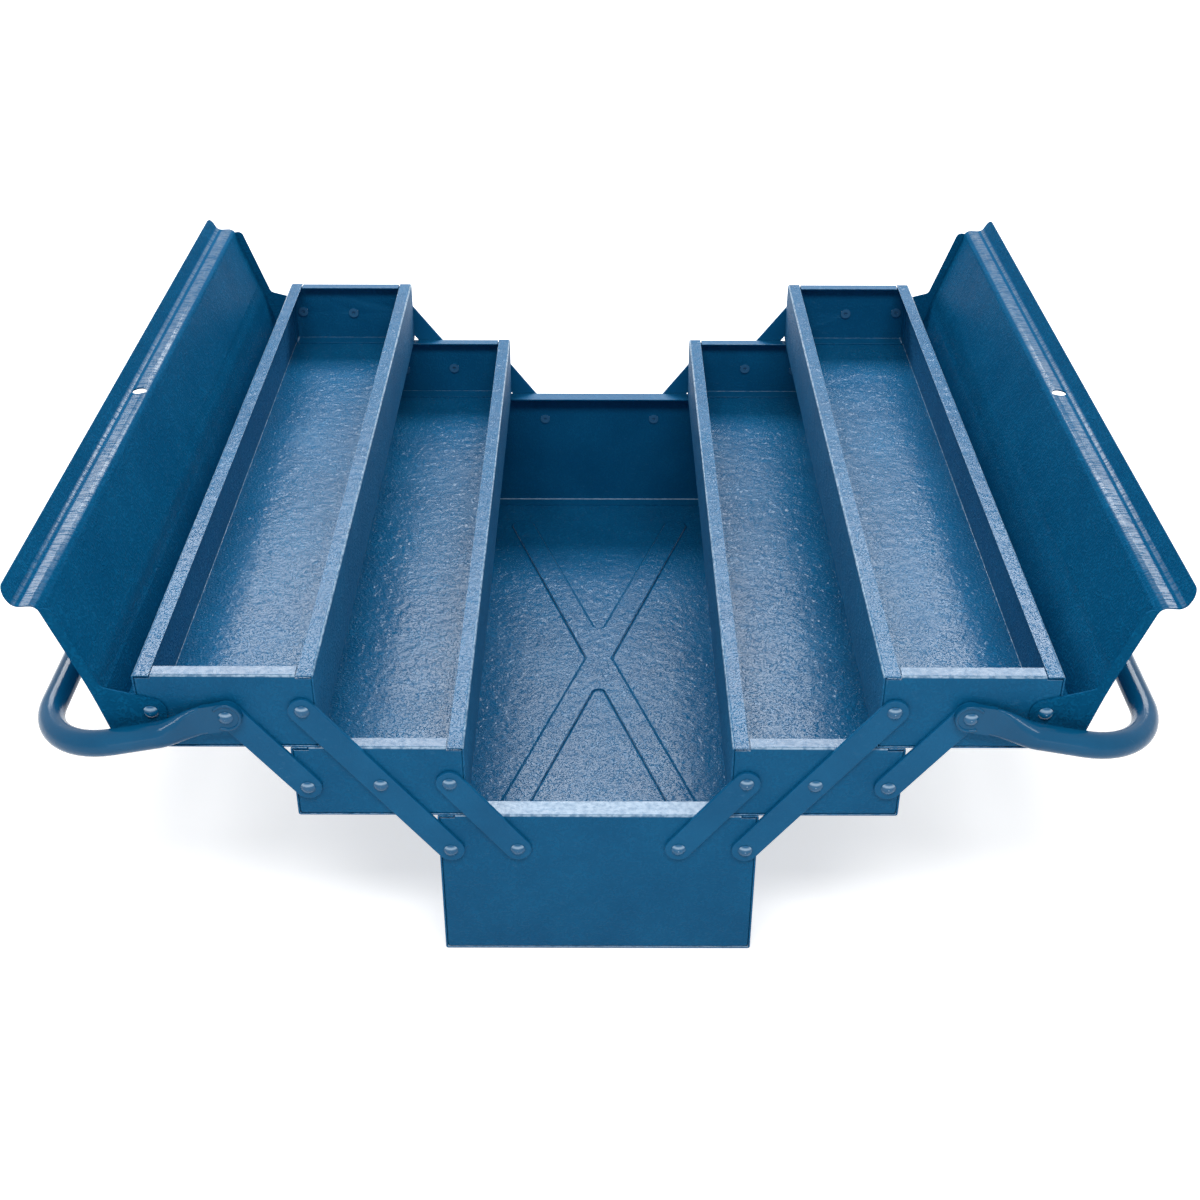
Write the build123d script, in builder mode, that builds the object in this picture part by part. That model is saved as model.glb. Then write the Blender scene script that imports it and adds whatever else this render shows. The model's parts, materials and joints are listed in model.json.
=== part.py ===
from build123d import *
import os
from math import acos, asin, atan2, cos, degrees, hypot, radians, sin

# Metal toolbox with a base and four swing-out trays, standing open
# X runs across the box, Y along it and Z up. The origin is the middle of the underside.
# A place across the box is given by its reach, its distance from the middle plane.
os.makedirs("parts", exist_ok=True)

# Boxes
box_length = 560.0
base_height = 106.0
lower_tray_width = 98.0
upper_tray_width = 100.0
tray_height = 49.5
centre_gap = 0.8  # between the left and right trays when shut

# Sheet metal of the base, the trays and the lids
sheet = 1.0
bend_radius = 1.5  # outside of a fold
side_rim = 9.5  # inward rim along each long wall
tray_end_rim = 9.0
base_end_rim = 13.0
corner_flange = 12.0  # end panel's flanges on the floor and the walls
panel_corner_radius = 2.2  # at the two lower corners of an end panel
weld_fit = 0.05  # between welded sheets
notch_gap = 1.2  # under the end of a side rim
notch_side_gap = 0.7

# Stiffening cross pressed up into the base floor
cross_length = 442.0
cross_band = 18.8
cross_angle = 18.2  # of each band from the length of the box
cross_height = 1.2
cross_apex_radius = 5.0
cross_waist_radius = 14.0
cross_edge_radius = 0.6
cross_shift = 29.3  # toward the rear from mid length

# Running gaps between bodies
stack_gap = 0.3  # under a tray that rests on the rim below
swing_gap = 0.3  # between the layers at the ends of the box

# Flat arms and their pivots
arm_width = 16.0
arm_thickness = 2.0
arm_edge_radius = 0.5
arm_tilt = 37.7  # from upright, outward when open and inward when shut
lower_pitch = 61.8  # along the arm, base pivot to lower tray pivot
upper_pitch = 65.9  # along the arm, lower tray pivot to upper tray pivot
base_pivot_inset = 7.0  # from the base's long wall
base_pivot_drop = 24.7  # below the base's rim
lower_inner_inset = 9.0  # from the lower tray's inner wall
lower_outer_inset = 7.9  # from the lower tray's outer wall
upper_inner_inset = 8.0  # from the upper tray's inner wall
lid_pivot_inset = 8.1  # from the upper tray's outer wall
lower_short_rise = 0.9  # short arm's pivots above the long arm's
upper_short_drop = 1.6  # short arm's pivots below the long arm's
lid_pivot_rise = 1.0  # above the handle pivot

# Rivets
rivet_radius = 2.5
rivet_clearance = 0.08  # in the holes that turn
rivet_head_radius = 4.2
rivet_head_height = 2.0
rivet_tail_radius = 4.0
rivet_tail_height = 1.5
rivet_tail_bore = 1.4

# Lid, measured from its pivot with the lid shut
lid_open_angle = 100.4
lid_overhang = 1.4  # past the outer wall of the tray
lid_lift = 1.1  # over the tray's rim at the outer edge
lid_bend_run = 30.2  # from the outer edge to the slight bend
lid_bend_rise = 2.7
lid_panel_run = 58.0  # from the bend to the step
lid_panel_rise = 9.5
lid_step_run = 1.6
lid_step_rise = 12.7
lid_ridge_rise = 3.4
lid_meeting_gap = 1.6  # between the two ridges when shut
lid_lip_depth = 4.6  # folded down outside the tray
lid_edge_bend = 1.0
lid_soft_bend = 300.0
lid_foot_bend = 6.0
lid_head_bend = 5.0
lid_corner_radius = 7.0
flap_depth = 5.2
flap_nose_radius = 4.4
flap_setback = 3.0  # from the foot of the step
ear_radius = 9.0
ear_corner_radius = 4.0
padlock_hole_radius = 4.6
padlock_hole_rise = 6.4  # up the step from its foot
padlock_hole_forward = 20.0  # toward the front from mid length

# Handle, a bent tube with flattened ends
handle_tube_radius = 7.6
handle_wall = 1.2
handle_reach = 112.0  # pivot to the middle of the grip
handle_droop = 11.0  # below level when open
handle_bend_radius = 48.0
handle_end_radius = 9.0
handle_end_thickness = 3.0
handle_flat_length = 13.0
handle_flare_length = 25.0
handle_tube_clearance = 0.4  # between the tube and the lid rivet's head

# Places of the layers at the end of the box, as distances from the middle
end_face = box_length / 2
arm_inner_face = end_face + swing_gap
arm_outer_face = arm_inner_face + arm_thickness
ear_outer_face = arm_inner_face + sheet
handle_inner_face = arm_outer_face + swing_gap
handle_outer_face = handle_inner_face + handle_end_thickness
lid_rivet_top = ear_outer_face + swing_gap + rivet_head_height
handle_tube_axis = lid_rivet_top + handle_tube_clearance + handle_tube_radius

# Swing of the arms
lower_swing = lower_pitch * sin(radians(arm_tilt))
upper_swing = upper_pitch * sin(radians(arm_tilt))
lower_rise = lower_pitch * cos(radians(arm_tilt))
upper_rise = upper_pitch * cos(radians(arm_tilt))

# Trays when open
lower_tray_bottom = base_height + stack_gap
upper_tray_bottom = lower_tray_bottom + tray_height + stack_gap
upper_tray_top = upper_tray_bottom + tray_height
lower_tray_inner = centre_gap / 2 + 2 * lower_swing
upper_tray_inner = lower_tray_inner + 2 * upper_swing
upper_tray_outer = upper_tray_inner + upper_tray_width
lower_tray_middle = lower_tray_inner + lower_tray_width / 2
lower_tray_outer = lower_tray_inner + lower_tray_width
upper_tray_middle = upper_tray_inner + upper_tray_width / 2

# Heights of the pivots when open
base_long_height = base_height - base_pivot_drop
base_short_height = base_long_height + lower_short_rise
lower_long_height = base_long_height + lower_rise
lower_outer_height = lower_long_height - upper_short_drop
handle_height = lower_outer_height + upper_rise

# Pivots when open, as reach and height
upper_long_pivot = (upper_tray_inner + upper_inner_inset, lower_long_height + upper_rise)
lower_long_pivot = (upper_long_pivot[0] - upper_swing, lower_long_height)
base_long_pivot = (lower_long_pivot[0] - lower_swing, base_long_height)
lower_inner_pivot = (lower_tray_inner + lower_inner_inset, base_short_height + lower_rise)
base_short_pivot = (lower_inner_pivot[0] - lower_swing, base_short_height)
lower_outer_pivot = (lower_tray_outer - lower_outer_inset, lower_outer_height)
handle_pivot = (lower_outer_pivot[0] + upper_swing, handle_height)
lid_pivot = (upper_tray_outer - lid_pivot_inset, handle_height + lid_pivot_rise)
base_width = 2 * (base_long_pivot[0] + base_pivot_inset)

# The parts are drawn at the left front, and mirrored to the rear and to the right
front_plane = Plane.XZ.offset(end_face)


def left(pivot):
    """Place of a pivot in the front plane, on the left side."""
    return (-pivot[0], pivot[1])


def save(part, name):
    part.label = name
    export_step(part, f"parts/{name}.step")


def mirrored(part, plane):
    with BuildPart() as copy:
        mirror(part, about=plane)
    return copy.part


def save_sides(part, name):
    save(part, f"left_{name}")
    save(mirrored(part, Plane.YZ), f"right_{name}")


def save_ends(part, before, after):
    save(part, f"{before}front_{after}")
    save(mirrored(part, Plane.XZ), f"{before}rear_{after}")


# Troughs, each a floor and two long walls with inward rims


def trough_section(middle, bottom, width, height):
    with BuildSketch(front_plane) as section:
        with Locations((middle, bottom + height / 2)):
            RectangleRounded(width, height, bend_radius)
            RectangleRounded(width - 2 * sheet, height - 2 * sheet, bend_radius - sheet, mode=Mode.SUBTRACT)
        with Locations((middle, bottom + height)):
            Rectangle(width - 2 * side_rim, 4 * sheet, mode=Mode.SUBTRACT)
    return section.sketch


def cross_outline(inset, height):
    """Two crossing bands with rounded ends, drawn smaller all round by the inset."""
    with BuildSketch(Plane((0, cross_shift, height))) as cross:
        for turn in (cross_angle, -cross_angle):
            SlotOverall(cross_length - 2 * inset, cross_band - 2 * inset, rotation=90 + turn)
        corners = cross.vertices().sort_by(SortBy.DISTANCE)[:4]
        fillet(corners.sort_by(SortBy.DISTANCE)[2:], cross_apex_radius)
        waist = cross.vertices().sort_by(SortBy.DISTANCE)[:2]
        fillet(waist, cross_waist_radius)
    return cross.sketch


with BuildPart() as cross_press:
    extrude(cross_outline(0, sheet), amount=cross_height)
    fillet(cross_press.faces().sort_by(Axis.Z)[-1].edges(), cross_edge_radius)

with BuildPart() as base_trough:
    extrude(trough_section(0, 0, base_width, base_height), amount=-box_length)
    add(cross_press.part)
    extrude(cross_outline(sheet, 0), amount=cross_height, mode=Mode.SUBTRACT)
save(base_trough.part, "base_trough")


def tray_trough(middle, bottom, width):
    with BuildPart() as trough:
        extrude(trough_section(-middle, bottom, width, tray_height), amount=-box_length)
    return trough.part


save_sides(tray_trough(lower_tray_middle, lower_tray_bottom, lower_tray_width), "lower_tray_trough")
save_sides(tray_trough(upper_tray_middle, upper_tray_bottom, upper_tray_width), "upper_tray_trough")


# End panels, each a plate with a top rim and flanges on the floor and the walls


def end_panel(middle, bottom, width, height, rim_depth, holes):
    half_plate = width / 2 - sheet - weld_fit
    half_rim = width / 2 - side_rim - notch_side_gap
    floor = bottom + sheet + weld_fit
    top = bottom + height
    shoulder = top - sheet - notch_gap
    with BuildPart() as panel:
        with BuildSketch(front_plane) as outline:
            Polygon(
                (middle - half_plate, floor),
                (middle + half_plate, floor),
                (middle + half_plate, shoulder),
                (middle + half_rim, shoulder),
                (middle + half_rim, top),
                (middle - half_rim, top),
                (middle - half_rim, shoulder),
                (middle - half_plate, shoulder),
                align=None,
            )
            fillet(outline.vertices().group_by(Axis.Y)[0], panel_corner_radius)
        extrude(amount=-corner_flange)
        face_edges = panel.faces().sort_by(Axis.Y)[0].edges()
        fillet(face_edges.filter_by(lambda edge: edge.center().Z < shoulder - sheet), bend_radius)
        with BuildSketch(front_plane.offset(-sheet)) as inside:
            with Locations((middle, floor + sheet)):
                Rectangle(2 * (half_plate - sheet), height, align=(Align.CENTER, Align.MIN))
            fillet(inside.vertices().group_by(Axis.Y)[0], panel_corner_radius - sheet)
        extrude(amount=-corner_flange, mode=Mode.SUBTRACT)
        with BuildSketch(front_plane):
            with Locations((middle, top)):
                Rectangle(2 * half_rim, sheet, align=(Align.CENTER, Align.MAX))
        extrude(amount=-rim_depth)
        fold = panel.edges().filter_by(Axis.X).group_by(Axis.Z)[-1].sort_by(Axis.Y)[0]
        fillet(fold, bend_radius)
        with BuildSketch(front_plane):
            with Locations(*holes):
                Circle(rivet_radius)
        extrude(amount=-sheet, mode=Mode.SUBTRACT)
    return panel.part


base_holes = [left(base_long_pivot), left(base_short_pivot), base_long_pivot, base_short_pivot]
lower_holes = [left(lower_inner_pivot), left(lower_long_pivot), left(lower_outer_pivot)]
upper_holes = [left(upper_long_pivot), left(handle_pivot), left(lid_pivot)]
base_panel = end_panel(0, 0, base_width, base_height, base_end_rim, base_holes)
save_ends(base_panel, "base_", "panel")
lower_panel = end_panel(
    -lower_tray_middle, lower_tray_bottom, lower_tray_width, tray_height, tray_end_rim, lower_holes
)
upper_panel = end_panel(
    -upper_tray_middle, upper_tray_bottom, upper_tray_width, tray_height, tray_end_rim, upper_holes
)
for tray, panel in (("lower_tray", lower_panel), ("upper_tray", upper_panel)):
    save_ends(panel, f"left_{tray}_", "panel")
    save_ends(mirrored(panel, Plane.YZ), f"right_{tray}_", "panel")


# Flat arms with rounded ends


def flat_arm(pivots):
    first = left(pivots[0])
    last = left(pivots[-1])
    middle = ((first[0] + last[0]) / 2, (first[1] + last[1]) / 2)
    pitch = hypot(last[0] - first[0], last[1] - first[1])
    turn = degrees(atan2(last[1] - first[1], last[0] - first[0]))
    with BuildPart() as arm:
        with BuildSketch(Plane.XZ.offset(arm_inner_face)):
            with Locations(middle):
                SlotCenterToCenter(pitch, arm_width, rotation=turn)
        extrude(amount=arm_thickness)
        fillet(arm.faces().sort_by(Axis.Y)[0].edges(), arm_edge_radius)
        with BuildSketch(Plane.XZ.offset(arm_inner_face)):
            with Locations(*[left(pivot) for pivot in pivots]):
                Circle(rivet_radius + rivet_clearance)
        extrude(amount=arm_thickness, mode=Mode.SUBTRACT)
    return arm.part


long_arm = flat_arm([base_long_pivot, lower_long_pivot, upper_long_pivot])
lower_short_arm = flat_arm([base_short_pivot, lower_inner_pivot])
upper_short_arm = flat_arm([lower_outer_pivot, handle_pivot])
arms = {"long_arm": long_arm, "lower_short_arm": lower_short_arm, "upper_short_arm": upper_short_arm}
for name, arm in arms.items():
    save_ends(arm, "left_", name)
    save_ends(mirrored(arm, Plane.YZ), "right_", name)


# Lids, each a folded panel with a raised ridge and a flap with an ear at each end
lid_turn = radians(lid_open_angle)
lid_plane = Plane(
    origin=(-lid_pivot[0], 0, lid_pivot[1]),
    x_dir=(cos(lid_turn), 0, sin(lid_turn)),
    z_dir=(0, -1, 0),
)
lid_pivot_shut = lid_pivot[0] - 2 * (lower_swing + upper_swing)
outer_edge = (
    -(upper_tray_outer - lid_pivot[0] + lid_overhang),
    upper_tray_top - lid_pivot[1] + lid_lift,
)
lip_edge = (outer_edge[0], outer_edge[1] - lid_lip_depth)
soft_bend = (outer_edge[0] + lid_bend_run, outer_edge[1] + lid_bend_rise)
step_foot = (soft_bend[0] + lid_panel_run, soft_bend[1] + lid_panel_rise)
step_head = (step_foot[0] + lid_step_run, step_foot[1] + lid_step_rise)
ridge_edge = (lid_pivot_shut - lid_meeting_gap / 2, step_head[1] + lid_ridge_rise)


def point_between(start, end, distance):
    """Point at a distance from the start of a straight line."""
    length = hypot(end[0] - start[0], end[1] - start[1])
    share = distance / length
    return (start[0] + share * (end[0] - start[0]), start[1] + share * (end[1] - start[1]))


def below(point, depth):
    return (point[0], point[1] - depth)


# The ear's slanted edge runs from the flap to touch the round end at the pivot
ear_shoulder = below(soft_bend, flap_depth)
shoulder_distance = hypot(*ear_shoulder)
touch_angle = atan2(ear_shoulder[1], ear_shoulder[0]) - acos(ear_radius / shoulder_distance)
ear_touch = (ear_radius * cos(touch_angle), ear_radius * sin(touch_angle))


def flap_outline(plane):
    """End flap with its ear, drawn on a plane across the end of the lid."""
    into_panel = -sheet / 2
    nose = point_between(step_foot, soft_bend, flap_setback)
    flap_foot = below(nose, flap_depth)
    with BuildSketch(plane) as outline:
        Polygon(
            below(outer_edge, into_panel),
            (outer_edge[0] + into_panel, outer_edge[1] - lid_edge_bend),
            (lip_edge[0] + into_panel, lip_edge[1]),
            (-ear_radius, 0),
            (0, 0),
            ear_touch,
            ear_shoulder,
            flap_foot,
            below(nose, into_panel),
            below(soft_bend, into_panel),
            align=None,
        )
        fillet(outline.vertices().sort_by_distance(flap_foot)[0], flap_nose_radius)
        fillet(outline.vertices().sort_by_distance(ear_shoulder)[0], ear_corner_radius)
        Circle(ear_radius)
        Circle(rivet_radius + rivet_clearance, mode=Mode.SUBTRACT)
    return outline.sketch


with BuildPart() as left_lid:
    with BuildSketch(lid_plane.offset(ear_outer_face)):
        with BuildLine() as lid_line:
            FilletPolyline(
                lip_edge, outer_edge, soft_bend, step_foot, step_head, ridge_edge,
                radius=(lid_edge_bend, lid_soft_bend, lid_foot_bend, lid_head_bend),
            )
            offset(amount=sheet, side=Side.LEFT)
        make_face()
    extrude(amount=-2 * ear_outer_face)
    tip_corners = left_lid.edges().filter_by(lambda edge: abs(edge.length - sheet) < 0.01)
    tip_corners = tip_corners.sort_by_distance(lid_plane.from_local_coords((*ridge_edge, 0)))[:2]
    fillet(tip_corners, lid_corner_radius)
    extrude(flap_outline(lid_plane.offset(arm_inner_face)), amount=sheet)
    extrude(flap_outline(lid_plane.offset(-arm_inner_face)), amount=-sheet)
    hole_centre = point_between(step_foot, step_head, padlock_hole_rise)
    step_turn = atan2(lid_step_rise, lid_step_run)
    hole_axis = lid_plane.from_local_coords((-sin(step_turn), cos(step_turn), 0)) - lid_plane.origin
    hole_origin = lid_plane.from_local_coords((*hole_centre, padlock_hole_forward))
    hole_plane = Plane(origin=hole_origin, z_dir=hole_axis)
    with BuildSketch(hole_plane):
        Circle(padlock_hole_radius)
    extrude(amount=padlock_hole_radius, both=True, mode=Mode.SUBTRACT)
save_sides(left_lid.part, "lid")


# Handles, bent tube with flattened ends
droop = radians(handle_droop)
handle_out = Vector(-cos(droop), 0, -sin(droop))
handle_across = Vector(0, 1, 0)
handle_plane = Plane(
    origin=(-handle_pivot[0], 0, handle_pivot[1]),
    x_dir=handle_out,
    z_dir=handle_out.cross(handle_across),
)
flare_end = handle_flat_length + handle_flare_length
flat_middle = (handle_inner_face + handle_outer_face) / 2


def handle_section(distance, place):
    """Plane across the front arm of the handle, its x along the box."""
    centre = handle_plane.from_local_coords((distance, -place, 0))
    return Plane(origin=centre, x_dir=handle_across, z_dir=handle_out)


with BuildPart() as handle_end:
    for step in range(5):
        share = step / 4
        blend = share * share * (3 - 2 * share)
        thickness = handle_end_thickness + blend * (2 * handle_tube_radius - handle_end_thickness)
        width = 2 * handle_end_radius + blend * 2 * (handle_tube_radius - handle_end_radius)
        place = flat_middle + blend * (handle_tube_axis - flat_middle)
        distance = handle_flat_length + share * handle_flare_length
        with BuildSketch(handle_section(distance, place)):
            RectangleRounded(thickness, width, 0.49 * thickness)
    loft()
    with BuildSketch(Plane.XZ.offset(handle_inner_face)):
        with Locations(left(handle_pivot)):
            Circle(handle_end_radius)
            with Locations(Rotation(0, 0, 180 + handle_droop)):
                Rectangle(
                    handle_flat_length, 2 * handle_end_radius, align=(Align.MIN, Align.CENTER)
                )
    extrude(amount=handle_end_thickness)
    with BuildSketch(Plane.XZ.offset(handle_inner_face)):
        with Locations(left(handle_pivot)):
            Circle(rivet_radius + rivet_clearance)
    extrude(amount=handle_end_thickness, mode=Mode.SUBTRACT)

with BuildPart() as left_handle:
    with BuildLine(handle_plane) as handle_path:
        FilletPolyline(
            (flare_end, -handle_tube_axis),
            (handle_reach, -handle_tube_axis),
            (handle_reach, handle_tube_axis),
            (flare_end, handle_tube_axis),
            radius=handle_bend_radius,
        )
    with BuildSketch(handle_section(flare_end, handle_tube_axis)):
        Circle(handle_tube_radius)
        Circle(handle_tube_radius - handle_wall, mode=Mode.SUBTRACT)
    sweep(path=handle_path.line)
    add(handle_end.part)
    mirror(handle_end.part, about=Plane.XZ)
save_sides(left_handle.part, "handle")


# Rivets, each a domed head outside, a shank and a rolled tail inside the panel
head_dome_radius = (rivet_head_radius ** 2 + rivet_head_height ** 2) / (2 * rivet_head_height)


def rivet(pivot, seat):
    """Front rivet at a pivot on the left, its head resting on a seat face."""
    panel_inside = end_face - sheet
    top = seat + rivet_head_height
    half_turn = asin(rivet_head_radius / head_dome_radius) / 2
    dome_middle = (head_dome_radius * sin(half_turn), top - head_dome_radius * (1 - cos(half_turn)))
    with BuildPart() as one_rivet:
        with BuildSketch(Plane(origin=(-pivot[0], 0, pivot[1]), x_dir=(1, 0, 0), z_dir=(0, 0, -1))):
            with BuildLine():
                Polyline(
                    (0, top),
                    (0, panel_inside),
                    (rivet_tail_bore, panel_inside),
                    (rivet_tail_bore, panel_inside - rivet_tail_height),
                    (rivet_tail_radius, panel_inside - rivet_tail_height),
                    (rivet_tail_radius, panel_inside),
                    (rivet_radius, panel_inside),
                    (rivet_radius, seat),
                    (rivet_head_radius, seat),
                )
                ThreePointArc((rivet_head_radius, seat), dome_middle, (0, top))
            make_face()
        revolve(axis=Axis((-pivot[0], 0, pivot[1]), (0, 1, 0)))
    return one_rivet.part


arm_seat = arm_outer_face + swing_gap
lid_seat = ear_outer_face + swing_gap
handle_seat = handle_outer_face + swing_gap

with BuildPart() as base_rivets:
    add(rivet(base_long_pivot, arm_seat))
    add(rivet(base_short_pivot, arm_seat))
    mirror(about=Plane.YZ)
    mirror(about=Plane.XZ)
save(base_rivets.part, "base_rivets")

with BuildPart() as lower_tray_rivets:
    add(rivet(lower_inner_pivot, arm_seat))
    add(rivet(lower_long_pivot, arm_seat))
    add(rivet(lower_outer_pivot, arm_seat))
    mirror(about=Plane.XZ)
save_sides(lower_tray_rivets.part, "lower_tray_rivets")

with BuildPart() as upper_tray_rivets:
    add(rivet(upper_long_pivot, arm_seat))
    add(rivet(handle_pivot, handle_seat))
    add(rivet(lid_pivot, lid_seat))
    mirror(about=Plane.XZ)
save_sides(upper_tray_rivets.part, "upper_tray_rivets")
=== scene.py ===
"""Metal toolbox with swing-out trays, painted and set on a pale floor."""
import json
from math import cos, pi, radians, sin

import bmesh
import bpy
from mathutils import Matrix, Vector


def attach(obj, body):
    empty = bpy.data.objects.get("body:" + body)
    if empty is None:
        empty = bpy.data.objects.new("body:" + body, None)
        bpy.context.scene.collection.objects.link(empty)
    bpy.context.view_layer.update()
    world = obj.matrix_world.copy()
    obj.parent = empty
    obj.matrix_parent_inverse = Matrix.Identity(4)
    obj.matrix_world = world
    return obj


bl_info = {
    "name": "Metal toolbox",
    "version": (1, 0, 0),
    "blender": (4, 5, 0),
    "location": "View3D > Sidebar > Toolbox",
    "description": "Paints the toolbox, rounds the edges of its sheet and sets the stage",
    "category": "Object",
}

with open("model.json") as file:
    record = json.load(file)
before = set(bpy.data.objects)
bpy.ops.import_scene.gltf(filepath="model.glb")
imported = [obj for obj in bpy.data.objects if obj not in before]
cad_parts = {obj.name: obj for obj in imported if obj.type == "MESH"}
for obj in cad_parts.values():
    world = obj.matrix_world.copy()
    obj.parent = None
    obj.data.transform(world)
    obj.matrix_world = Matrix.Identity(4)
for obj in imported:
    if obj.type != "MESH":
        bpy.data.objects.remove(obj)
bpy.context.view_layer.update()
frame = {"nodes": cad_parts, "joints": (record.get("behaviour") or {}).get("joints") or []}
nodes = frame["nodes"]
joints = {joint["name"]: joint for joint in frame["joints"]}
SIDES = ("left", "right")

# Places on the sheet metal at rest, in metres from the middle of the box's underside

FLANGE_EDGE = 0.2695  # lengthwise, just past the inner edge of the end panels' flanges
CORNER_LINE = 0.2772  # lengthwise, where the base's flanges bend up into its end panels
BASE_FLOOR_ZONE = 0.06  # height under which a face belongs to the base floor
LID_VALLEY = (0.3108, 0.3128)  # sideways, the valley pressed along the edge of an open lid
LID_SWELL = (0.3006, 0.3085)  # sideways, the swell beside that valley
CROSS_TURN = radians(18.2)  # slope of the bands pressed into the base floor

# Paints: relief, width and lines scale the wrinkles, and lines also the painted shade between
# them;
# gloss, rough and side_rough set the shine; coat names the mask where the coat lies and the next
# mask where a painted highlight lies, both from the group of smooth paint; the colour scale paints
# each blue lighter or darker as painted light and shade; and pressed is the height of the cross

TROUGH_PAINT = dict(
    relief=1.0, gloss=0.27, rough=0.24, side_rough=0.65, highlit="Folds", lines=0.65, shade=1.2
)
PANEL_PAINT = dict(relief=0.3, gloss=0.12, rough=0.42, coat="Upper", coat_amount=0.9, highlit="Folds")
PAINTS = {
    "Trough paint": TROUGH_PAINT,
    "Base trough paint": dict(TROUGH_PAINT, pressed=0.0014),
    "Panel paint": PANEL_PAINT,
    "Rear panel paint": dict(PANEL_PAINT, coat_amount=0.35),
    "Base panel paint": dict(PANEL_PAINT, highlit="Rims"),
    "Lid paint": dict(relief=0.7, gloss=0.01, rough=0.45, coat="Step", shade=0.95, lines=0.9),
    "Arm paint": dict(relief=0.1, gloss=0.16, rough=0.38, lines=0.25),
    "Handle paint": dict(relief=0.06, gloss=0.20, rough=0.14, width=1.4, shade=0.85, lines=0.1),
    "Rivet paint": dict(relief=0.03, gloss=0.4, rough=0.14, highlit="Tails", lines=0.0),
}
ROUGH_SPREAD = (-0.04, 0.06)  # how far the roughness wanders over a piece
COAT_ROUGH = 0.3

# Stage

LIGHTS = (  # name, setting of its power, place, what it shines at, width and height
    ("Key light", "key_power", (0.0, 1.8, 1.8), (0, 0, 0.12), (3.0, 0.8)),
    ("Top light", "top_power", (0.0, -1.25, 2.0), (0, 0, 0.12), (1.6, 0.5)),
    ("Front light", "front_power", (0.0, -2.2, 0.22), (0, 0, 0.16), (2.6, 0.36)),
)
FLOOR_RADIUS = 12.0
FLOOR_GAP = 0.0005  # between the floor and the box's underside
GLOW_REACH = (0.8, 3.5)  # from the box, where the floor's glow starts and ends its rise


# Sizes and colours


class ToolboxPaint(bpy.types.PropertyGroup):
    colour: bpy.props.FloatVectorProperty(
        name="Colour", description="Blue of the paint", subtype="COLOR", size=3, min=0, max=1,
        default=(0.004, 0.128, 0.290),
    )
    deep_colour: bpy.props.FloatVectorProperty(
        name="Deep colour", description="Blue where the paint lies thick", subtype="COLOR",
        size=3, min=0, max=1, default=(0.002, 0.104, 0.246),
    )
    # Painted shade: the dark blue laid in the hollows between the wrinkles
    valley_shade_colour: bpy.props.FloatVectorProperty(
        name="Valley colour", description="Paint between the wrinkles", subtype="COLOR",
        size=3, min=0, max=1, default=(0.001, 0.054, 0.140),
    )
    # Painted highlight: the pale blue laid on folds, upturned rims and rivets where light would
    # catch them
    highlight_colour: bpy.props.FloatVectorProperty(
        name="Edge colour", description="Paint worn pale along folds and edges", subtype="COLOR",
        size=3, min=0, max=1, default=(0.38, 0.55, 0.72),
    )
    rubbed_colour: bpy.props.FloatVectorProperty(
        name="Rubbed colour", description="Paint rubbed pale", subtype="COLOR", size=3, min=0,
        max=1, default=(0.06, 0.20, 0.36),
    )
    fold_width: bpy.props.FloatProperty(
        name="Wrinkle width", description="From one wrinkle of the paint to the next",
        unit="LENGTH", default=0.0021, min=0.0002,
    )
    relief: bpy.props.FloatProperty(
        name="Relief", description="Height of the wrinkles", unit="LENGTH", default=0.00042, min=0,
    )


class ToolboxEdges(bpy.types.PropertyGroup):
    weld: bpy.props.FloatProperty(
        name="Weld", description="Distance under which corners of a mesh are joined",
        unit="LENGTH", default=0.000002, min=0,
    )
    round: bpy.props.FloatProperty(
        name="Rounding", description="Rounding of the cut edges of the sheet", unit="LENGTH",
        default=0.0003, min=0,
    )
    flat: bpy.props.FloatProperty(
        name="Flat", description="Bend under which neighbouring faces become one",
        subtype="ANGLE", default=radians(0.5), min=0,
    )
    sharp: bpy.props.FloatProperty(
        name="Sharp", description="Bend from which an edge is rounded", subtype="ANGLE",
        default=radians(40), min=0,
    )


class ToolboxRims(bpy.types.PropertyGroup):
    reach: bpy.props.FloatProperty(
        name="Reach", description="From the handle's rivet to the middle of the rim",
        unit="LENGTH", default=0.0080, min=0.005, max=0.0085,
    )
    thickness: bpy.props.FloatProperty(
        name="Thickness", description="Across the raised rim", unit="LENGTH", default=0.0018,
        min=0.0005, max=0.002,
    )
    face: bpy.props.FloatProperty(
        name="Face", description="From the middle of the box to the flattened end's outer face",
        unit="LENGTH", default=0.2856, min=0,
    )
    opening: bpy.props.FloatProperty(
        name="Opening", description="Gap of the rim toward the tube", subtype="ANGLE",
        default=1.75, min=0.5, max=3,
    )
    droop: bpy.props.FloatProperty(
        name="Droop", description="Slope of the handle below level at rest", subtype="ANGLE",
        default=0.192,
    )


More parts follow.
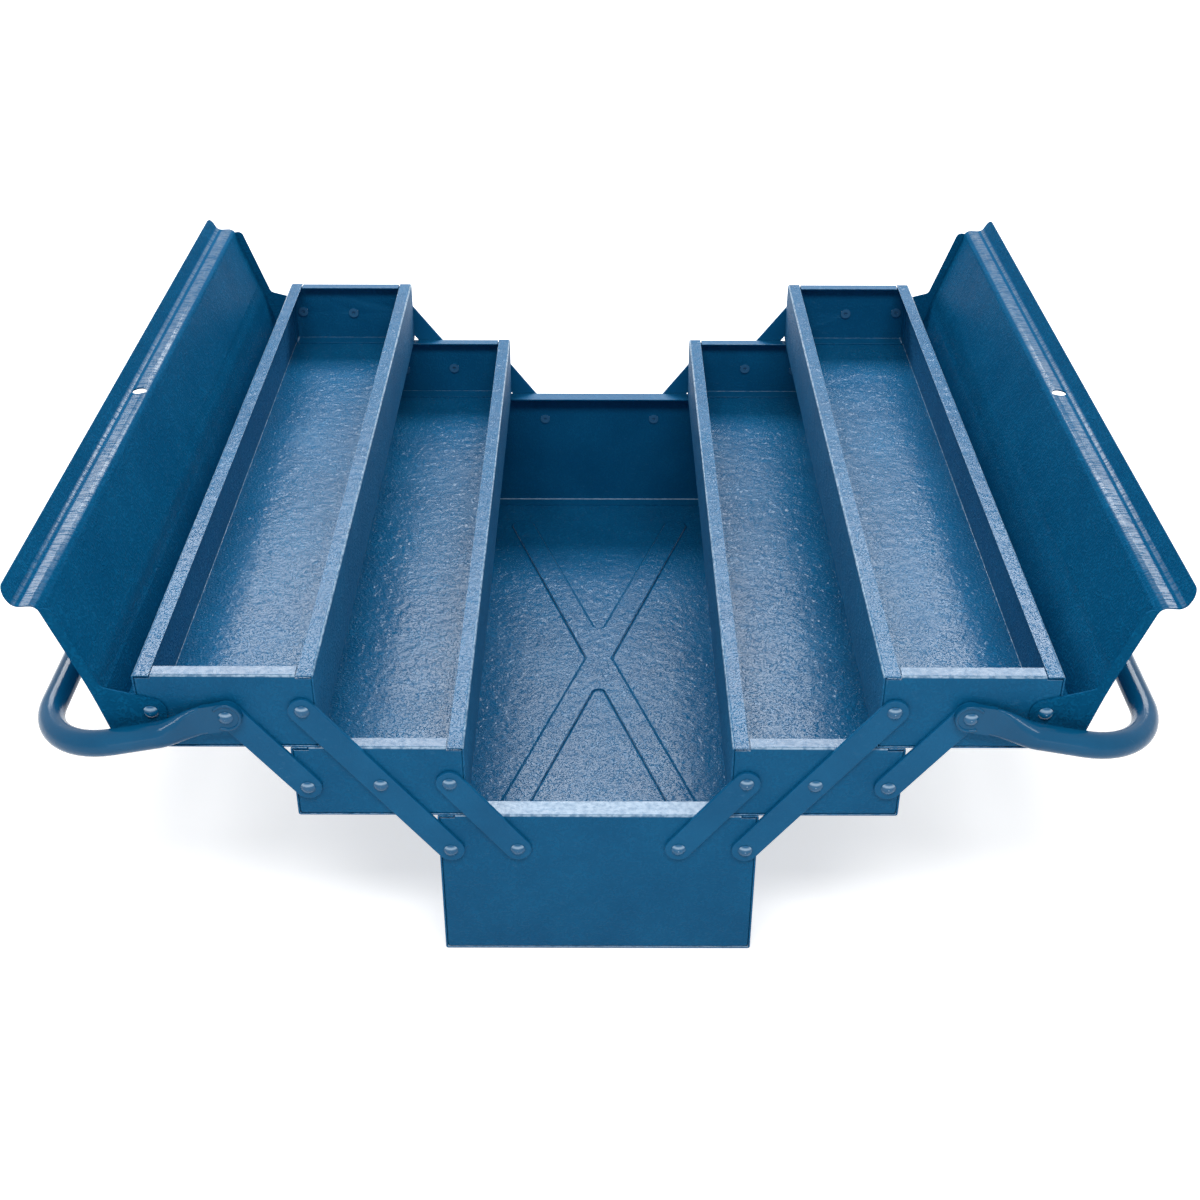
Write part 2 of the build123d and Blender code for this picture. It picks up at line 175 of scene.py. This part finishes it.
class ToolboxStage(bpy.types.PropertyGroup):
    eye: bpy.props.FloatVectorProperty(
        name="Camera place", description="Where the camera stands", subtype="TRANSLATION",
        size=3, default=(0.0008, -1.0183, 0.7336),
    )
    tilt: bpy.props.FloatProperty(
        name="Camera tilt", description="Camera's angle below level", subtype="ANGLE",
        default=0.5779,
    )
    roll: bpy.props.FloatProperty(
        name="Camera roll", description="Turn about the line of sight", subtype="ANGLE",
        default=0.0021,
    )
    shift: bpy.props.FloatProperty(
        name="Camera shift", description="Lift of the frame, as a share of the picture's width",
        default=5.2 / 1200,
    )
    lens: bpy.props.FloatProperty(
        name="Lens", description="Focal length in millimetres on a 36 mm frame", default=49.617,
        min=1,
    )
    key_power: bpy.props.FloatProperty(
        name="Key power", description="Power of the soft light behind the box",
        subtype="POWER", default=72.0, min=0,
    )
    top_power: bpy.props.FloatProperty(
        name="Top power", description="Power of the soft light above and in front",
        subtype="POWER", default=26.0, min=0,
    )
    front_power: bpy.props.FloatProperty(
        name="Front power", description="Power of the low soft light in front",
        subtype="POWER", default=4.0, min=0,
    )
    world_light: bpy.props.FloatProperty(
        name="World light", description="Strength of the world where it lights the box",
        default=0.31, min=0,
    )
    near_glow: bpy.props.FloatProperty(
        name="Near glow", description="What the floor adds to its lit white near the box",
        default=0.62, min=0,
    )
    far_glow: bpy.props.FloatProperty(
        name="Far glow", description="What the floor adds to its lit white far from the box",
        default=0.76, min=0,
    )


# Mesh helpers


def finish_mesh(name, work, material, body):
    """Turns a bmesh into a finished piece that rides on a body."""
    bmesh.ops.recalc_face_normals(work, faces=work.faces)
    mesh = bpy.data.meshes.new(name)
    work.to_mesh(mesh)
    work.free()
    mesh.materials.append(material)
    mesh.shade_smooth()
    piece = bpy.data.objects.new(name, mesh)
    bpy.context.scene.collection.objects.link(piece)
    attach(piece, body)


def paint(node, material_name):
    """Gives a CAD node its material."""
    node.data.materials.clear()
    node.data.materials.append(bpy.data.materials[material_name])


def round_edges(node, edges):
    """Joins the node's loose triangles and rounds its sharp edges a little."""
    weld = node.modifiers.new("Join", "WELD")
    weld.merge_threshold = edges.weld
    plain = node.modifiers.new("Plain", "DECIMATE")
    plain.decimate_type = "DISSOLVE"
    plain.angle_limit = edges.flat
    bevel = node.modifiers.new("Round", "BEVEL")
    bevel.limit_method = "ANGLE"
    bevel.angle_limit = edges.sharp
    bevel.width = edges.round
    bevel.segments = 2
    bevel.harden_normals = True
    bevel.use_clamp_overlap = True


# Node helpers


def empty_tree(owner):
    """Gives a material or a world an empty node tree."""
    owner.use_nodes = True
    owner.node_tree.nodes.clear()
    return owner.node_tree


def plug(tree, value, socket):
    """Sets a socket to a number or a colour, or links another node's output to it."""
    if isinstance(value, bpy.types.NodeSocket):
        tree.links.new(value, socket)
    elif socket.type == "RGBA":
        socket.default_value = (*value, 1.0)
    else:
        socket.default_value = value


def math_node(tree, operation, *values):
    node = tree.nodes.new("ShaderNodeMath")
    node.operation = operation
    for value, socket in zip(values, node.inputs):
        plug(tree, value, socket)
    return node.outputs[0]


def product(tree, first, *others):
    """Multiplies two or more values."""
    for other in others:
        first = math_node(tree, "MULTIPLY", first, other)
    return first


def diagonal(tree, *sides):
    """Length of the diagonal over two sides."""
    squares = [product(tree, side, side) for side in sides]
    return math_node(tree, "SQRT", math_node(tree, "ADD", *squares))


def ramp(tree, value, start, end, low=0.0, high=1.0, smooth=False):
    """Goes from low to high while the value goes from start to end."""
    node = tree.nodes.new("ShaderNodeMapRange")
    node.interpolation_type = "SMOOTHSTEP" if smooth else "LINEAR"
    labels = ("Value", "From Min", "From Max", "To Min", "To Max")
    for label, given in zip(labels, (value, start, end, low, high)):
        plug(tree, given, node.inputs[label])
    return node.outputs[0]


def band(tree, value, start, end, soft):
    """1 where the value lies between start and end, with soft sides."""
    rise = ramp(tree, value, start - soft, start + soft, smooth=True)
    fall = ramp(tree, value, end - soft, end + soft, low=1.0, high=0.0, smooth=True)
    return product(tree, rise, fall)


def noise(tree, place, scale, detail=2.0, roughness=0.5, distortion=0.0):
    node = tree.nodes.new("ShaderNodeTexNoise")
    labels = ("Vector", "Scale", "Detail", "Roughness", "Distortion")
    for label, given in zip(labels, (place, scale, detail, roughness, distortion)):
        plug(tree, given, node.inputs[label])
    return node.outputs["Fac"]


def squeeze(tree, place, scale, turn=(0.0, 0.0, 0.0)):
    """Squeezes and turns the pattern that reads this place."""
    node = tree.nodes.new("ShaderNodeMapping")
    for label, given in (("Vector", place), ("Rotation", turn), ("Scale", scale)):
        plug(tree, given, node.inputs[label])
    return node.outputs[0]


def parts_of(tree, vector):
    """X, Y and Z of a vector."""
    node = tree.nodes.new("ShaderNodeSeparateXYZ")
    plug(tree, vector, node.inputs[0])
    return node.outputs


def mix_colour(tree, factor, first, second):
    """Mixes two colours, each given as a colour or as another node's output."""
    node = tree.nodes.new("ShaderNodeMix")
    node.data_type = "RGBA"
    plug(tree, factor, node.inputs["Factor"])
    colour_sockets = [socket for socket in node.inputs if socket.type == "RGBA"]
    for value, socket in zip((first, second), colour_sockets):
        plug(tree, value, socket)
    return next(socket for socket in node.outputs if socket.type == "RGBA")


def seen_directly(tree):
    """1 for a ray from the camera, a mirroring or clear surface, and 0 for one that lights."""
    rays = tree.nodes.new("ShaderNodeLightPath").outputs
    seen = math_node(tree, "MAXIMUM", rays["Is Camera Ray"], rays["Is Glossy Ray"])
    return math_node(tree, "MAXIMUM", seen, rays["Is Transmission Ray"])


# Node groups


def new_group(name, inputs, outputs):
    """Starts a node group: an input has its default, or None for a vector; outputs are numbers."""
    group = bpy.data.node_groups.new(name, "ShaderNodeTree")
    for label, default in inputs.items():
        kind = "NodeSocketVector" if default is None else "NodeSocketFloat"
        socket = group.interface.new_socket(label, in_out="INPUT", socket_type=kind)
        if default is not None:
            socket.default_value = default
    for label in outputs:
        group.interface.new_socket(label, in_out="OUTPUT", socket_type="NodeSocketFloat")
    start = group.nodes.new("NodeGroupInput")
    end = group.nodes.new("NodeGroupOutput")
    return group, start.outputs, end.inputs


def use_group(tree, name, place):
    """Places a node group in a material."""
    node = tree.nodes.new("ShaderNodeGroup")
    node.node_tree = bpy.data.node_groups[name]
    plug(tree, place, node.inputs["Vector"])
    return node


def wrinkle_group():
    """Wrinkles of baked paint: worm lines that wander and break, like those of a fingerprint."""
    group, given, result = new_group(
        "Paint wrinkles", {"Vector": None, "Width": 0.002}, ("Height", "Patches", "Lines")
    )
    worms_per_width, breaks_per_width = 1.4, 0.3
    scale = math_node(group, "DIVIDE", worms_per_width, given["Width"])
    worms = noise(group, given["Vector"], scale, detail=0.0, distortion=0.45)
    lines = ramp(group, worms, 0.45, 0.58, smooth=True)
    scale = math_node(group, "DIVIDE", breaks_per_width, given["Width"])
    breaks = noise(group, given["Vector"], scale)
    folds = product(group, lines, ramp(group, breaks, 0.34, 0.60, low=0.25))
    plug(group, folds, result["Lines"])
    share_of_swell = 0.4
    swell = product(group, breaks, share_of_swell)
    plug(group, math_node(group, "ADD", folds, swell), result["Height"])
    patches = noise(group, given["Vector"], scale=26.0, detail=3.0)
    plug(group, patches, result["Patches"])


def shine_group():
    """Where the paint lies smooth and where painted highlights make it pale, by which way a face
    looks and where it is.
    """
    group, given, result = new_group(
        "Smooth paint", {"Vector": None, "Normal": None},
        ("Upper", "Step", "Folds", "Rims", "Tails"),
    )
    facing = parts_of(group, given["Normal"])
    place = parts_of(group, given["Vector"])
    lengthwise = math_node(group, "ABSOLUTE", place["Y"])
    sideways = math_node(group, "ABSOLUTE", place["X"])
    clouds = noise(group, given["Vector"], scale=320.0, detail=3.0)

    # Faces that look up
    upper = ramp(group, facing["Z"], 0.35, 0.60, smooth=True)
    smooth = product(group, upper, ramp(group, clouds, 0.35, 0.60, low=0.6))
    plug(group, smooth, result["Upper"])

    # Painted highlight on folds, broken into dashes, but not on the round of a flange, and on the
    # corners of the base floor
    bent = band(group, facing["Z"], 0.30, 0.93, soft=0.05)
    dashes = ramp(group, clouds, 0.40, 0.55, low=0.25, high=0.75)
    outer = math_node(group, "GREATER_THAN", lengthwise, FLANGE_EDGE)
    least_endwise = 0.3
    endwise = math_node(group, "ABSOLUTE", facing["Y"])
    looks_aside = math_node(group, "LESS_THAN", endwise, least_endwise)
    folds = product(group, bent, dashes, math_node(group, "MAXIMUM", outer, looks_aside))
    above_floor = math_node(group, "GREATER_THAN", place["Z"], BASE_FLOOR_ZONE)
    past_line = math_node(group, "GREATER_THAN", lengthwise, CORNER_LINE)
    corner = math_node(group, "SUBTRACT", past_line, above_floor)
    folds = math_node(group, "MAXIMUM", folds, product(group, corner, smooth))
    plug(group, folds, result["Folds"])

    # Painted highlight on rims that look up, and on the folds
    rim_highlight = 0.4
    pale = product(group, smooth, rim_highlight, above_floor)
    plug(group, math_node(group, "MAXIMUM", pale, folds), result["Rims"])

    # Painted highlights on the rivets: paler rolled tails on the inner side of the panels, and a
    # paler band on the upper part of each dome
    inner_side, inner_tail_highlight, crown_highlight = -0.2, 0.1, 0.75
    outward = product(group, place["Y"], facing["Y"])
    inward = math_node(group, "LESS_THAN", outward, inner_side)
    crown = band(group, facing["Z"], 0.34, 0.56, soft=0.10)
    tails = product(group, inward, inner_tail_highlight), product(group, crown, crown_highlight)
    plug(group, math_node(group, "MAXIMUM", *tails), result["Tails"])

    # The step pressed along the open lid's edge, combed crosswise
    valley = band(group, sideways, *LID_VALLEY, soft=0.0005)
    swell = band(group, sideways, *LID_SWELL, soft=0.0007)
    open_step = math_node(group, "MAXIMUM", valley, swell)
    squeezed = squeeze(group, given["Vector"], (160.0, 1100.0, 160.0))
    combed = ramp(group, noise(group, squeezed, scale=1.0), 0.38, 0.58, low=0.15)
    plug(group, product(group, open_step, combed), result["Step"])


def cross_group():
    """Slopes round the two crossing bands of the base floor, 1 on them and 0 beside them."""
    group, given, result = new_group(
        "Pressed cross",
        {
            "Vector": None,
            "Shift": 0.0293,
            "Half length": 0.2116,
            "Half width": 0.0094,
            "Apex radius": 0.005,
        },
        ("Height",),
    )
    place = parts_of(group, given["Vector"])
    aside = math_node(group, "ABSOLUTE", place["X"])
    shifted = math_node(group, "SUBTRACT", place["Y"], given["Shift"])
    ahead = math_node(group, "ABSOLUTE", shifted)
    lean = product(group, aside, sin(CROSS_TURN))
    crossing = product(group, aside, cos(CROSS_TURN))
    sloping = product(group, ahead, sin(CROSS_TURN))
    across = math_node(group, "SUBTRACT", crossing, sloping)
    along = math_node(group, "ADD", lean, product(group, ahead, cos(CROSS_TURN)))
    past_end = math_node(group, "SUBTRACT", along, given["Half length"])
    reach = diagonal(group, across, math_node(group, "MAXIMUM", past_end, 0.0))
    beside = math_node(group, "SUBTRACT", reach, given["Half width"])

    # Round the apex between the bands: inside the arc the distance runs from the arc's centre
    radius = given["Apex radius"]
    wide = math_node(group, "ADD", given["Half width"], radius)
    centre = math_node(group, "DIVIDE", wide, sin(CROSS_TURN))
    below = math_node(group, "SUBTRACT", centre, ahead)
    near_apex = math_node(group, "LESS_THAN", lean, product(group, below, cos(CROSS_TURN)))
    in_arc = product(group, near_apex, math_node(group, "LESS_THAN", crossing, sloping))
    arc = math_node(group, "SUBTRACT", radius, diagonal(group, aside, below))
    change = product(group, in_arc, math_node(group, "SUBTRACT", arc, beside))
    beside = math_node(group, "ADD", beside, change)
    foot, shoulder = 0.0016, -0.0012
    height = ramp(group, beside, shoulder, foot, low=1.0, high=0.0, smooth=True)
    plug(group, height, result["Height"])


def wear_group():
    """Fine rubbing and scratches of use, as a mask from 0 to 1, and clouds of dust."""
    group, given, result = new_group(
        "Rubbing", {"Vector": None, "Amount": 0.5}, ("Mask", "Dust")
    )
    stretched = squeeze(group, given["Vector"], (1.0, 9.0, 2.0), turn=(0.2, 0.1, 0.9))
    streaks = noise(group, stretched, scale=140.0, detail=4.0, roughness=0.7)
    spots = noise(group, given["Vector"], scale=18.0, detail=3.0)
    lines = ramp(group, streaks, 0.60, 0.74)
    places = ramp(group, spots, 0.45, 0.70)
    plug(group, product(group, lines, places, given["Amount"]), result["Mask"])
    dust = noise(group, given["Vector"], scale=9.0, detail=5.0, roughness=0.6)
    plug(group, dust, result["Dust"])


def paint_material(
    name, settings, relief, gloss, rough, side_rough=None, width=1.0, coat=None, coat_amount=1.0,
    highlit=None, shade=1.0, lines=0.5, pressed=0.0,
):
    """Blue paint with its own wrinkles, shine and wear, painted shade between the wrinkles,
    painted highlights on folds, rims or rivets, a blue scaled lighter or darker as painted light
    and shade, and a coat where it lies smooth.
    """
    tree = empty_tree(bpy.data.materials.new(name))
    output = tree.nodes.new("ShaderNodeOutputMaterial")
    shader = tree.nodes.new("ShaderNodeBsdfPrincipled")
    shader.inputs["IOR"].default_value = 1.5
    shader.inputs["Specular IOR Level"].default_value = gloss
    plug(tree, shader.outputs[0], output.inputs["Surface"])
    coordinates = tree.nodes.new("ShaderNodeTexCoord").outputs
    wrinkles = use_group(tree, "Paint wrinkles", coordinates["Object"])
    wrinkles.inputs["Width"].default_value = settings.fold_width * width
    rubbing = use_group(tree, "Rubbing", coordinates["Object"])
    shine = use_group(tree, "Smooth paint", coordinates["Object"])
    plug(tree, coordinates["Normal"], shine.inputs["Normal"])

    thick = ramp(tree, wrinkles.outputs["Patches"], 0.3, 0.7)
    # Painted light and shade: the colour scale makes this paint's blue lighter or darker than the
    # same paint on other parts
    deep, plain = (
        [shade * part for part in colour] for colour in (settings.deep_colour, settings.colour)
    )
    blue = mix_colour(tree, thick, deep, plain)
    # Painted shade in the hollows between the wrinkles, as strong as lines asks
    valley_shade = ramp(tree, wrinkles.outputs["Lines"], 0.0, 1.0, low=0.5 * lines, high=0.0)
    blue = mix_colour(tree, valley_shade, blue, settings.valley_shade_colour)
    blue = mix_colour(tree, rubbing.outputs["Mask"], blue, settings.rubbed_colour)
    # Painted highlight: the named mask lays a pale blue on folds, rims or rivets
    if highlit:
        blue = mix_colour(tree, shine.outputs[highlit], blue, settings.highlight_colour)
    plug(tree, blue, shader.inputs["Base Color"])

    least, most = (rough + change for change in ROUGH_SPREAD)
    dull = ramp(tree, rubbing.outputs["Dust"], 0.3, 0.7, low=least, high=most)
    if side_rough:
        dull = ramp(tree, shine.outputs["Upper"], 0.0, 0.6, low=side_rough, high=dull)
    plug(tree, dull, shader.inputs["Roughness"])

    distance = settings.relief * relief
    height = wrinkles.outputs["Height"]
    if pressed:
        cross = use_group(tree, "Pressed cross", coordinates["Object"])
        step = product(tree, cross.outputs["Height"], pressed / distance)
        height = math_node(tree, "ADD", height, step)
    bump = tree.nodes.new("ShaderNodeBump")
    for label, value in (("Strength", 1.0), ("Distance", distance), ("Height", height)):
        plug(tree, value, bump.inputs[label])
    plug(tree, bump.outputs[0], shader.inputs["Normal"])

    if coat:
        weight = product(tree, shine.outputs[coat], coat_amount)
        plug(tree, weight, shader.inputs["Coat Weight"])
        shader.inputs["Coat Roughness"].default_value = COAT_ROUGH


# Operators


class TOOLBOX_OT_mix_paint(bpy.types.Operator):
    """Mix the blue paints of the sheet metal, the arms, the handles and the rivets"""

    bl_idname = "toolbox.mix_paint"
    bl_label = "Mix paint"

    def execute(self, context):
        wrinkle_group()
        wear_group()
        shine_group()
        cross_group()
        for name, values in PAINTS.items():
            paint_material(name, context.scene.toolbox_paint, **values)
        return {"FINISHED"}


class TOOLBOX_OT_paint_boxes(bpy.types.Operator):
    """Paint the base and the trays and round the cut edges of their sheet"""

    bl_idname = "toolbox.paint_boxes"
    bl_label = "Paint base and trays"

    def execute(self, context):
        special = {"base_trough": "Base trough paint", "base_front_panel": "Base panel paint"}
        usual = {"_trough": "Trough paint", "rear_panel": "Rear panel paint",
                 "front_panel": "Panel paint"}
        for name, node in nodes.items():
            for ending, material in usual.items():
                if name.endswith(ending):
                    paint(node, special.get(name, material))
                    round_edges(node, context.scene.toolbox_edges)
        return {"FINISHED"}


class TOOLBOX_OT_paint_lids(bpy.types.Operator):
    """Paint the two lids and round the cut edges of their sheet"""

    bl_idname = "toolbox.paint_lids"
    bl_label = "Paint lids"

    def execute(self, context):
        for side in SIDES:
            paint(nodes[f"{side}_lid"], "Lid paint")
            round_edges(nodes[f"{side}_lid"], context.scene.toolbox_edges)
        return {"FINISHED"}


class TOOLBOX_OT_paint_arms(bpy.types.Operator):
    """Paint the flat arms and the rivets they turn on"""

    bl_idname = "toolbox.paint_arms"
    bl_label = "Paint arms and rivets"

    def execute(self, context):
        for name, node in nodes.items():
            if name.endswith("_arm"):
                paint(node, "Arm paint")
            elif name.endswith("_rivets"):
                paint(node, "Rivet paint")
        return {"FINISHED"}


class TOOLBOX_OT_paint_handles(bpy.types.Operator):
    """Paint the two tube handles"""

    bl_idname = "toolbox.paint_handles"
    bl_label = "Paint handles"

    def execute(self, context):
        for side in SIDES:
            paint(nodes[f"{side}_handle"], "Handle paint")
        return {"FINISHED"}


class TOOLBOX_OT_shape_rims(bpy.types.Operator):
    """Shape the raised rims round the rivets on the flattened ends of the handles"""

    bl_idname = "toolbox.shape_rims"
    bl_label = "Shape handle rims"

    def execute(self, context):
        sizes = context.scene.toolbox_rims
        material = bpy.data.materials["Handle paint"]
        for side, outward in zip(SIDES, (-1, 1)):
            across, _, up = joints[f"{side}_handle_swing"]["pos_m"]
            away = Vector((outward * cos(sizes.droop), 0, -sin(sizes.droop)))
            work = bmesh.new()
            for end in (-1, 1):
                self.add_rim(work, sizes, Vector((across, end * sizes.face, up)), away)
            finish_mesh(f"{side}_handle_rims", work, material, f"{side}_handle")
        return {"FINISHED"}

    def add_rim(self, work, sizes, pivot, away):
        """Sweeps a small round section about the pivot, open toward the tube."""
        outward = Matrix.Rotation(sizes.opening / 2, 3, "Y") @ away
        level = Vector((0, 1, 0))
        place = Matrix((outward, level, outward.cross(level))).transposed().to_4x4()
        place.translation = pivot + outward * sizes.reach
        section = bmesh.ops.create_circle(
            work, cap_ends=True, radius=sizes.thickness / 2, segments=12, matrix=place
        )
        corners = section["verts"]
        faces = {face for corner in corners for face in corner.link_faces}
        edges = {edge for corner in corners for edge in corner.link_edges}
        bmesh.ops.spin(
            work, geom=[*corners, *edges, *faces], cent=pivot, axis=level,
            angle=2 * pi - sizes.opening, steps=48, use_duplicate=False,
        )


class TOOLBOX_OT_set_stage(bpy.types.Operator):
    """Set the pale floor, the soft lights and the camera"""

    bl_idname = "toolbox.set_stage"
    bl_label = "Set stage"

    def execute(self, context):
        scene = context.scene
        settings = scene.toolbox_stage
        scene.view_settings.view_transform = "Standard"
        self.add_floor(scene, settings)
        self.add_world(scene, settings)
        for name, power, place, target, size in LIGHTS:
            self.add_light(scene, name, getattr(settings, power), place, target, size)
        self.add_camera(scene, settings)
        return {"FINISHED"}

    def add_camera(self, scene, settings):
        data = bpy.data.cameras.new("Camera")
        data.lens = settings.lens
        data.sensor_width = 36.0
        data.shift_y = settings.shift
        data.clip_start = 0.05
        data.clip_end = 50.0
        camera = bpy.data.objects.new("Camera", data)
        scene.collection.objects.link(camera)
        level = Matrix.Rotation(pi / 2 - settings.tilt, 4, "X")
        roll = Matrix.Rotation(settings.roll, 4, "Z")
        camera.matrix_world = Matrix.Translation(settings.eye) @ (level @ roll)
        scene.camera = camera

    def add_light(self, scene, name, power, place, target, size):
        data = bpy.data.lights.new(name, "AREA")
        data.shape = "RECTANGLE"
        data.size, data.size_y = size
        data.energy = power
        light = bpy.data.objects.new(name, data)
        light.location = place
        aim = Vector(target) - Vector(place)
        light.rotation_euler = aim.to_track_quat("-Z", "Y").to_euler()
        scene.collection.objects.link(light)

    def add_floor(self, scene, settings):
        """Adds a disc that keeps the box's shadow and otherwise shows white."""
        work = bmesh.new()
        bmesh.ops.create_circle(work, cap_ends=True, radius=FLOOR_RADIUS, segments=96)
        mesh = bpy.data.meshes.new("Floor")
        work.to_mesh(mesh)
        work.free()
        mesh.transform(Matrix.Translation((0, 0, -FLOOR_GAP)))
        material = bpy.data.materials.new("White floor")
        tree = empty_tree(material)
        output = tree.nodes.new("ShaderNodeOutputMaterial")
        diffuse = tree.nodes.new("ShaderNodeBsdfDiffuse")
        diffuse.inputs["Color"].default_value = (0.8, 0.8, 0.8, 1.0)
        spot = tree.nodes.new("ShaderNodeTexCoord")
        reach = tree.nodes.new("ShaderNodeVectorMath")
        reach.operation = "LENGTH"
        plug(tree, spot.outputs["Object"], reach.inputs[0])
        distance, near, far = reach.outputs["Value"], settings.near_glow, settings.far_glow
        level = ramp(tree, distance, *GLOW_REACH, low=near, high=far)
        glow = tree.nodes.new("ShaderNodeEmission")
        plug(tree, product(tree, seen_directly(tree), level), glow.inputs["Strength"])
        both = tree.nodes.new("ShaderNodeAddShader")
        plug(tree, diffuse.outputs[0], both.inputs[0])
        plug(tree, glow.outputs[0], both.inputs[1])
        plug(tree, both.outputs[0], output.inputs["Surface"])
        mesh.materials.append(material)
        floor = bpy.data.objects.new("Floor", mesh)
        scene.collection.objects.link(floor)

    def add_world(self, scene, settings):
        """Adds a white world that lights the box only softly."""
        world = bpy.data.worlds.new("Studio")
        scene.world = world
        tree = empty_tree(world)
        output = tree.nodes.new("ShaderNodeOutputWorld")
        background = tree.nodes.new("ShaderNodeBackground")
        background.inputs["Color"].default_value = (1.0, 1.0, 1.0, 1.0)
        strength = ramp(tree, seen_directly(tree), 0.0, 1.0, low=settings.world_light)
        plug(tree, strength, background.inputs["Strength"])
        plug(tree, background.outputs[0], output.inputs["Surface"])


class TOOLBOX_PT_panel(bpy.types.Panel):
    """Steps that dress the toolbox, in order"""

    bl_idname = "TOOLBOX_PT_panel"
    bl_label = "Toolbox"
    bl_space_type = "VIEW_3D"
    bl_region_type = "UI"
    bl_category = "Toolbox"

    def draw(self, context):
        for step in STEPS:
            self.layout.operator(step.bl_idname)
        for group in GROUPS:
            settings = getattr(context.scene, group)
            column = self.layout.column()
            for key in settings.__annotations__:
                column.prop(settings, key)


STEPS = (
    TOOLBOX_OT_mix_paint,
    TOOLBOX_OT_paint_boxes,
    TOOLBOX_OT_paint_lids,
    TOOLBOX_OT_paint_arms,
    TOOLBOX_OT_paint_handles,
    TOOLBOX_OT_shape_rims,
    TOOLBOX_OT_set_stage,
)
GROUPS = {
    "toolbox_paint": ToolboxPaint,
    "toolbox_edges": ToolboxEdges,
    "toolbox_rims": ToolboxRims,
    "toolbox_stage": ToolboxStage,
}


def register():
    for group, kind in GROUPS.items():
        bpy.utils.register_class(kind)
        setattr(bpy.types.Scene, group, bpy.props.PointerProperty(type=kind))
    for step in STEPS:
        bpy.utils.register_class(step)
    bpy.utils.register_class(TOOLBOX_PT_panel)


def unregister():
    bpy.utils.unregister_class(TOOLBOX_PT_panel)
    for step in reversed(STEPS):
        bpy.utils.unregister_class(step)
    for group, kind in GROUPS.items():
        delattr(bpy.types.Scene, group)
        bpy.utils.unregister_class(kind)


def main():
    register()
    bpy.ops.toolbox.mix_paint()
    bpy.ops.toolbox.paint_boxes()
    bpy.ops.toolbox.paint_lids()
    bpy.ops.toolbox.paint_arms()
    bpy.ops.toolbox.paint_handles()
    bpy.ops.toolbox.shape_rims()
    bpy.ops.toolbox.set_stage()


if __name__ == "__main__":
    main()
